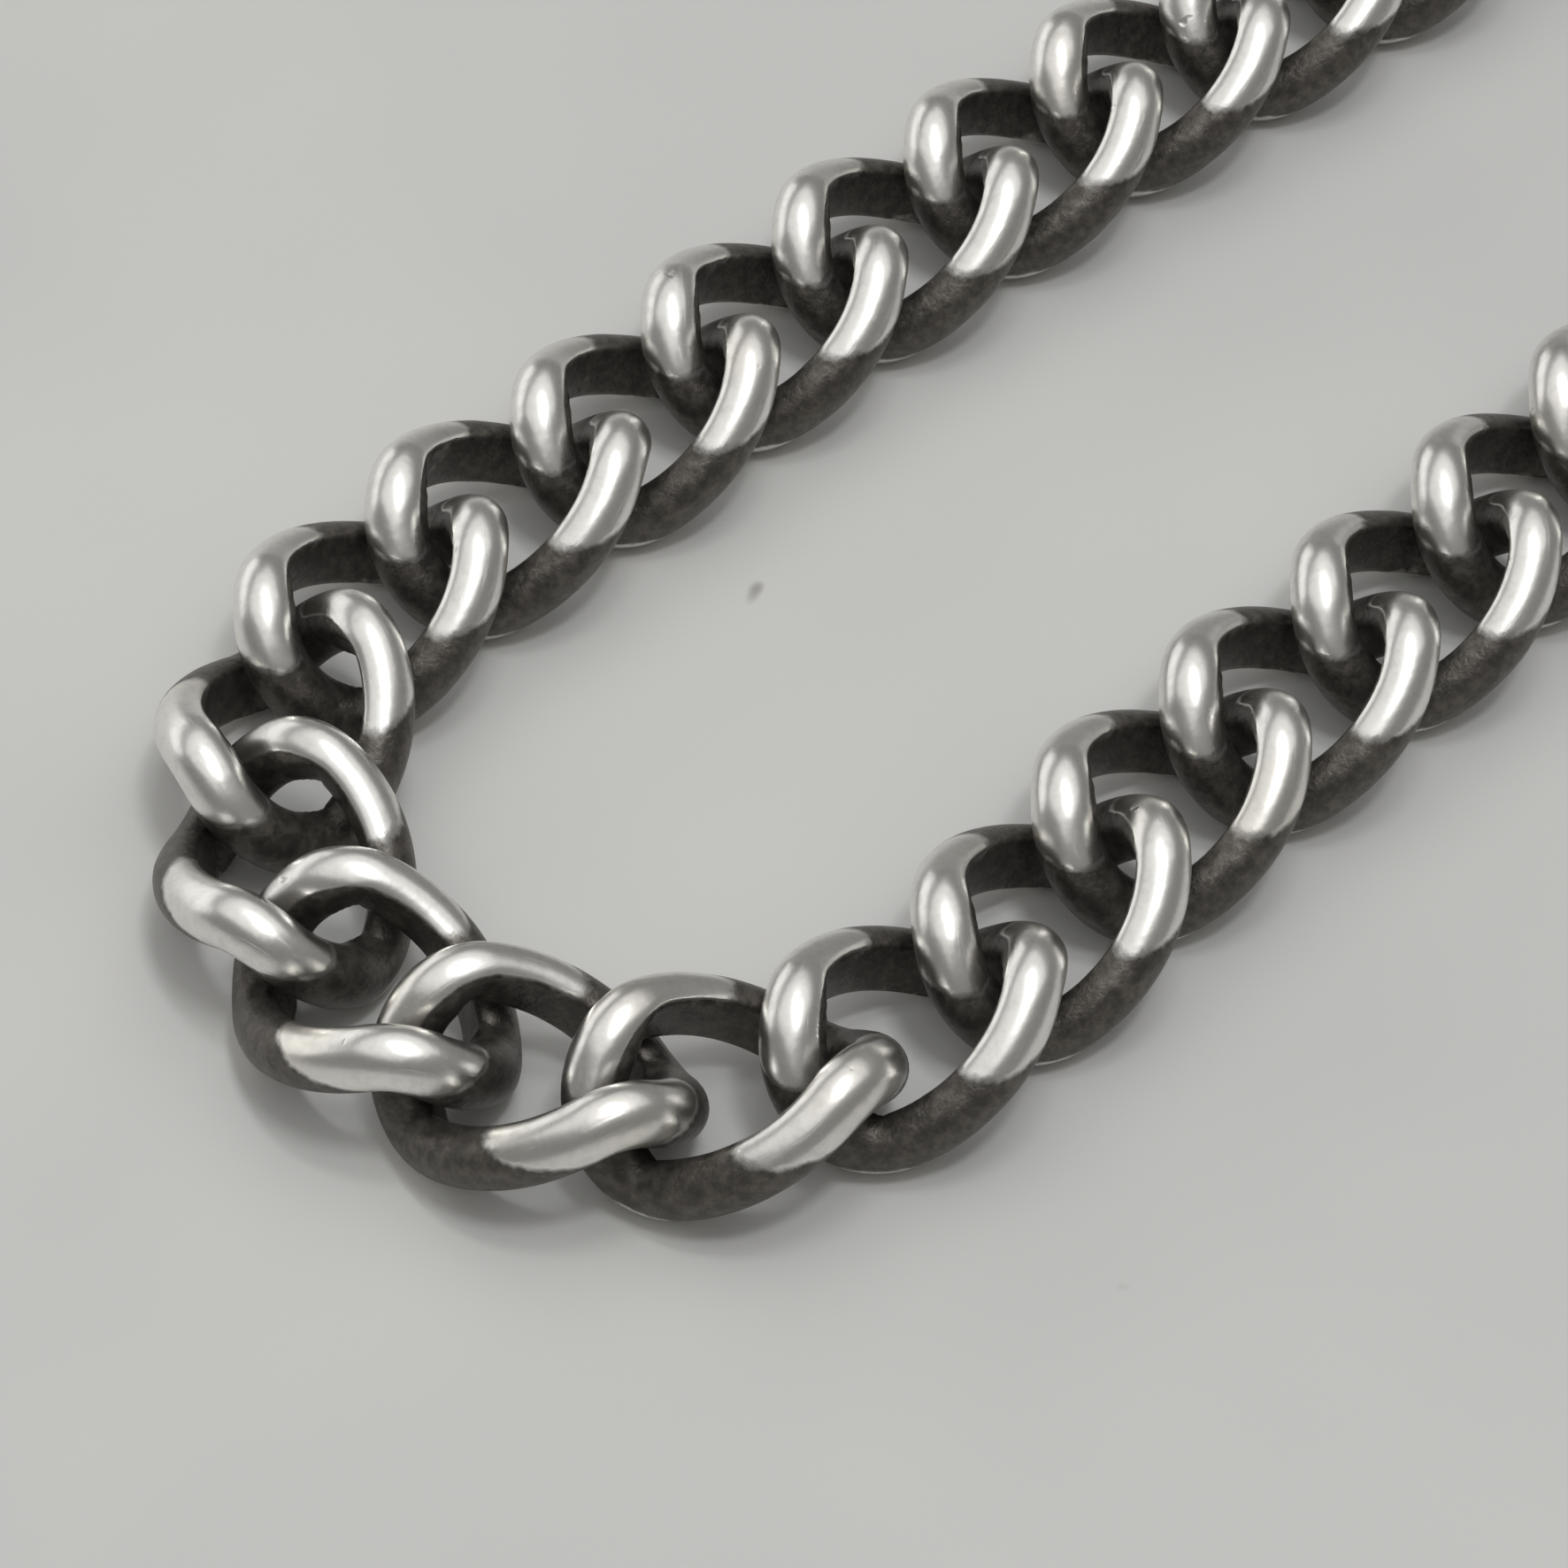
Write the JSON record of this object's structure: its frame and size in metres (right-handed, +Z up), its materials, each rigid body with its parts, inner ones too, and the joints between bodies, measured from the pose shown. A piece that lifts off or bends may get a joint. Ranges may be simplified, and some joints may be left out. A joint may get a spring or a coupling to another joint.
{
  "type": "pocket watch chain",
  "caption": "Curb chain of twisted oval wire links with a jump ring at each end, a button bar for a buttonhole and a swivel clasp for a pocket watch.",
  "frame": {"origin": "centre of the chain as laid out, on the table it lies on", "axes": "+Z up from the table; the loop's bend is at -X, the legs run towards +X; the button bar is at the +Y end and the clasp at the -Y end"},
  "size_m": [0.115, 0.1794, 0.0049],
  "materials": {
    "silver": "polished on the crowns, oxidised in the recesses",
    "steel": "fine brushed"
  },
  "bodies": {
    "link_01": {"link_01": "silver"},
    "link_02": {"link_02": "silver"},
    "link_03": {"link_03": "silver"},
    "link_04": {"link_04": "silver"},
    "link_05": {"link_05": "silver"},
    "link_06": {"link_06": "silver"},
    "link_07": {"link_07": "silver"},
    "link_08": {"link_08": "silver"},
    "link_09": {"link_09": "silver"},
    "link_10": {"link_10": "silver"},
    "link_11": {"link_11": "silver"},
    "link_12": {"link_12": "silver"},
    "link_13": {"link_13": "silver"},
    "link_14": {"link_14": "silver"},
    "link_15": {"link_15": "silver"},
    "link_16": {"link_16": "silver"},
    "link_17": {"link_17": "silver"},
    "link_18": {"link_18": "silver"},
    "link_19": {"link_19": "silver"},
    "link_20": {"link_20": "silver"},
    "link_21": {"link_21": "silver"},
    "link_22": {"link_22": "silver"},
    "link_23": {"link_23": "silver"},
    "link_24": {"link_24": "silver"},
    "link_25": {"link_25": "silver"},
    "link_26": {"link_26": "silver"},
    "link_27": {"link_27": "silver"},
    "link_28": {"link_28": "silver"},
    "link_29": {"link_29": "silver"},
    "link_30": {"link_30": "silver"},
    "link_31": {"link_31": "silver"},
    "link_32": {"link_32": "silver"},
    "link_33": {"link_33": "silver"},
    "link_34": {"link_34": "silver"},
    "link_35": {"link_35": "silver"},
    "link_36": {"link_36": "silver"},
    "link_37": {"link_37": "silver"},
    "link_38": {"link_38": "silver"},
    "link_39": {"link_39": "silver"},
    "link_40": {"link_40": "silver"},
    "link_41": {"link_41": "silver"},
    "link_42": {"link_42": "silver"},
    "link_43": {"link_43": "silver"},
    "link_44": {"link_44": "silver"},
    "link_45": {"link_45": "silver"},
    "link_46": {"link_46": "silver"},
    "bar_ring": {"bar_ring": "silver"},
    "button_bar": {"button_bar": "silver", "bar_eye": "silver"},
    "clasp_ring": {"clasp_ring": "silver"},
    "swivel_eye": {"swivel_eye": "silver"},
    "clasp_hook": {"clasp_hook": "silver", "lever_pin": "steel", "lever_spring": "steel"},
    "thumb_lever": {"thumb_lever": "silver"}
  },
  "joints": [
    {"name": "turn_23", "type": "hinge", "parent": "link_24", "child": "link_23", "pos_m": [-0.0535, 0.0145, 0.00247], "axis": [0, 0, -1], "range_deg": [-57, 1]},
    {"name": "turn_22", "type": "hinge", "parent": "link_23", "child": "link_22", "pos_m": [-0.05066, 0.01984, 0.00247], "axis": [0, 0, 1], "range_deg": [-1, 57]},
    {"name": "turn_21", "type": "hinge", "parent": "link_22", "child": "link_21", "pos_m": [-0.04565, 0.02322, 0.00247], "axis": [0, 0, -1], "range_deg": [-57, 1]},
    {"name": "turn_20", "type": "hinge", "parent": "link_21", "child": "link_20", "pos_m": [-0.03964, 0.02385, 0.00247], "axis": [0, 0, 1], "range_deg": [-17, 39]},
    {"name": "turn_19", "type": "hinge", "parent": "link_20", "child": "link_19", "pos_m": [-0.03361, 0.02343, 0.00247], "axis": [0, 0, -1], "range_deg": [-23, 17]},
    {"name": "turn_18", "type": "hinge", "parent": "link_19", "child": "link_18", "pos_m": [-0.02757, 0.02364, 0.00247], "axis": [0, 0, 1], "range_deg": [-21, 31]},
    {"name": "turn_17", "type": "hinge", "parent": "link_18", "child": "link_17", "pos_m": [-0.02153, 0.02364, 0.00247], "axis": [0, 0, -1], "range_deg": [-32, 26]},
    {"name": "turn_16", "type": "hinge", "parent": "link_17", "child": "link_16", "pos_m": [-0.01549, 0.02332, 0.00247], "axis": [0, 0, 1], "range_deg": [-31, 27]},
    {"name": "turn_15", "type": "hinge", "parent": "link_16", "child": "link_15", "pos_m": [-0.00945, 0.02322, 0.00247], "axis": [0, 0, -1], "range_deg": [-33, 25]},
    {"name": "turn_14", "type": "hinge", "parent": "link_15", "child": "link_14", "pos_m": [-0.00343, 0.02269, 0.00247], "axis": [0, 0, 1], "range_deg": [-30, 28]},
    {"name": "turn_13", "type": "hinge", "parent": "link_14", "child": "link_13", "pos_m": [0.0026, 0.02227, 0.00247], "axis": [0, 0, -1], "range_deg": [-25, 33]},
    {"name": "turn_12", "type": "hinge", "parent": "link_13", "child": "link_12", "pos_m": [0.00865, 0.02227, 0.00247], "axis": [0, 0, 1], "range_deg": [-38, 20]},
    {"name": "turn_11", "type": "hinge", "parent": "link_12", "child": "link_11", "pos_m": [0.01462, 0.02321, 0.00247], "axis": [0, 0, -1], "range_deg": [-20, 38]},
    {"name": "turn_10", "type": "hinge", "parent": "link_11", "child": "link_10", "pos_m": [0.02037, 0.02508, 0.00247], "axis": [0, 0, 1], "range_deg": [-38, 20]},
    {"name": "turn_09", "type": "hinge", "parent": "link_10", "child": "link_09", "pos_m": [0.02575, 0.02783, 0.00247], "axis": [0, 0, -1], "range_deg": [-20, 38]},
    {"name": "turn_08", "type": "hinge", "parent": "link_09", "child": "link_08", "pos_m": [0.03064, 0.03138, 0.00247], "axis": [0, 0, 1], "range_deg": [-38, 20]},
    {"name": "turn_07", "type": "hinge", "parent": "link_08", "child": "link_07", "pos_m": [0.03492, 0.03565, 0.00247], "axis": [0, 0, -1], "range_deg": [-20, 38]},
    {"name": "turn_06", "type": "hinge", "parent": "link_07", "child": "link_06", "pos_m": [0.03847, 0.04054, 0.00247], "axis": [0, 0, 1], "range_deg": [-38, 20]},
    {"name": "turn_05", "type": "hinge", "parent": "link_06", "child": "link_05", "pos_m": [0.04121, 0.04593, 0.00247], "axis": [0, 0, -1], "range_deg": [-20, 38]},
    {"name": "turn_04", "type": "hinge", "parent": "link_05", "child": "link_04", "pos_m": [0.04308, 0.05168, 0.00247], "axis": [0, 0, 1], "range_deg": [-38, 20]},
    {"name": "turn_03", "type": "hinge", "parent": "link_04", "child": "link_03", "pos_m": [0.04403, 0.05765, 0.00247], "axis": [0, 0, -1], "range_deg": [-20, 38]},
    {"name": "turn_02", "type": "hinge", "parent": "link_03", "child": "link_02", "pos_m": [0.04403, 0.06369, 0.00247], "axis": [0, 0, 1], "range_deg": [-29, 29]},
    {"name": "turn_01", "type": "hinge", "parent": "link_02", "child": "link_01", "pos_m": [0.04403, 0.06974, 0.00247], "axis": [0, 0, -1], "range_deg": [-29, 29]},
    {"name": "turn_25", "type": "hinge", "parent": "link_24", "child": "link_25", "pos_m": [-0.0535, 0.00846, 0.00247], "axis": [0, 0, -1], "range_deg": [-1, 57]},
    {"name": "turn_26", "type": "hinge", "parent": "link_25", "child": "link_26", "pos_m": [-0.05066, 0.00312, 0.00247], "axis": [0, 0, 1], "range_deg": [-57, 1]},
    {"name": "turn_27", "type": "hinge", "parent": "link_26", "child": "link_27", "pos_m": [-0.04565, -0.00026, 0.00247], "axis": [0, 0, -1], "range_deg": [-1, 57]},
    {"name": "turn_28", "type": "hinge", "parent": "link_27", "child": "link_28", "pos_m": [-0.03964, -0.00089, 0.00247], "axis": [0, 0, 1], "range_deg": [-43, 15]},
    {"name": "turn_29", "type": "hinge", "parent": "link_28", "child": "link_29", "pos_m": [-0.03365, -0.00005, 0.00247], "axis": [0, 0, -1], "range_deg": [-20, 24]},
    {"name": "turn_30", "type": "hinge", "parent": "link_29", "child": "link_30", "pos_m": [-0.02762, 0.00027, 0.00247], "axis": [0, 0, 1], "range_deg": [-25, 26]},
    {"name": "turn_31", "type": "hinge", "parent": "link_30", "child": "link_31", "pos_m": [-0.02158, 0.00016, 0.00247], "axis": [0, 0, -1], "range_deg": [-26, 32]},
    {"name": "turn_32", "type": "hinge", "parent": "link_31", "child": "link_32", "pos_m": [-0.01554, 0.00037, 0.00247], "axis": [0, 0, 1], "range_deg": [-29, 29]},
    {"name": "turn_33", "type": "hinge", "parent": "link_32", "child": "link_33", "pos_m": [-0.00949, 0.00058, 0.00247], "axis": [0, 0, -1], "range_deg": [-31, 27]},
    {"name": "turn_34", "type": "hinge", "parent": "link_33", "child": "link_34", "pos_m": [-0.00345, 0.00058, 0.00247], "axis": [0, 0, 1], "range_deg": [-20, 38]},
    {"name": "turn_35", "type": "hinge", "parent": "link_34", "child": "link_35", "pos_m": [0.00252, -0.00036, 0.00247], "axis": [0, 0, -1], "range_deg": [-38, 20]},
    {"name": "turn_36", "type": "hinge", "parent": "link_35", "child": "link_36", "pos_m": [0.00827, -0.00223, 0.00247], "axis": [0, 0, 1], "range_deg": [-20, 38]},
    {"name": "turn_37", "type": "hinge", "parent": "link_36", "child": "link_37", "pos_m": [0.01365, -0.00497, 0.00247], "axis": [0, 0, -1], "range_deg": [-38, 20]},
    {"name": "turn_38", "type": "hinge", "parent": "link_37", "child": "link_38", "pos_m": [0.01854, -0.00853, 0.00247], "axis": [0, 0, 1], "range_deg": [-20, 38]},
    {"name": "turn_39", "type": "hinge", "parent": "link_38", "child": "link_39", "pos_m": [0.02282, -0.0128, 0.00247], "axis": [0, 0, -1], "range_deg": [-38, 20]},
    {"name": "turn_40", "type": "hinge", "parent": "link_39", "child": "link_40", "pos_m": [0.02637, -0.01769, 0.00247], "axis": [0, 0, 1], "range_deg": [-20, 38]},
    {"name": "turn_41", "type": "hinge", "parent": "link_40", "child": "link_41", "pos_m": [0.02911, -0.02308, 0.00247], "axis": [0, 0, -1], "range_deg": [-38, 20]},
    {"name": "turn_42", "type": "hinge", "parent": "link_41", "child": "link_42", "pos_m": [0.03098, -0.02882, 0.00247], "axis": [0, 0, 1], "range_deg": [-20, 38]},
    {"name": "turn_43", "type": "hinge", "parent": "link_42", "child": "link_43", "pos_m": [0.03193, -0.03479, 0.00247], "axis": [0, 0, -1], "range_deg": [-38, 20]},
    {"name": "turn_44", "type": "hinge", "parent": "link_43", "child": "link_44", "pos_m": [0.03193, -0.04084, 0.00247], "axis": [0, 0, 1], "range_deg": [-29, 29]},
    {"name": "turn_45", "type": "hinge", "parent": "link_44", "child": "link_45", "pos_m": [0.03193, -0.04688, 0.00247], "axis": [0, 0, -1], "range_deg": [-29, 29]},
    {"name": "turn_46", "type": "hinge", "parent": "link_45", "child": "link_46", "pos_m": [0.03193, -0.05293, 0.00247], "axis": [0, 0, 1], "range_deg": [-29, 29]},
    {"name": "bar_ring_turn", "type": "hinge", "parent": "link_01", "child": "bar_ring", "pos_m": [0.04403, 0.07578, 0.00247], "axis": [0, 0, -1], "range_deg": [-30, 30]},
    {"name": "button_bar_turn", "type": "hinge", "parent": "bar_ring", "child": "button_bar", "pos_m": [0.04403, 0.08003, 0.00247], "axis": [0, 0, 1], "range_deg": [-30, 30]},
    {"name": "clasp_ring_turn", "type": "hinge", "parent": "link_46", "child": "clasp_ring", "pos_m": [0.03193, -0.05897, 0.00247], "axis": [0, 0, 1], "range_deg": [-30, 30]},
    {"name": "swivel_eye_turn", "type": "hinge", "parent": "clasp_ring", "child": "swivel_eye", "pos_m": [0.03193, -0.06322, 0.00247], "axis": [0, 0, -1], "range_deg": [-30, 30]},
    {"name": "clasp_spin", "type": "hinge", "parent": "swivel_eye", "child": "clasp_hook", "pos_m": [0.03193, -0.07155, 0.00247], "axis": [0, -1, 0], "continuous": true},
    {"name": "thumb_lever_press", "type": "hinge", "parent": "clasp_hook", "child": "thumb_lever", "pos_m": [0.02933, -0.07675, 0.00247], "axis": [0, 0, 1], "range_deg": [0, 35], "stiffness_Nm_per_rad": 0.005, "springref_deg": -20.05, "deforming": ["lever_spring"]}
  ]
}
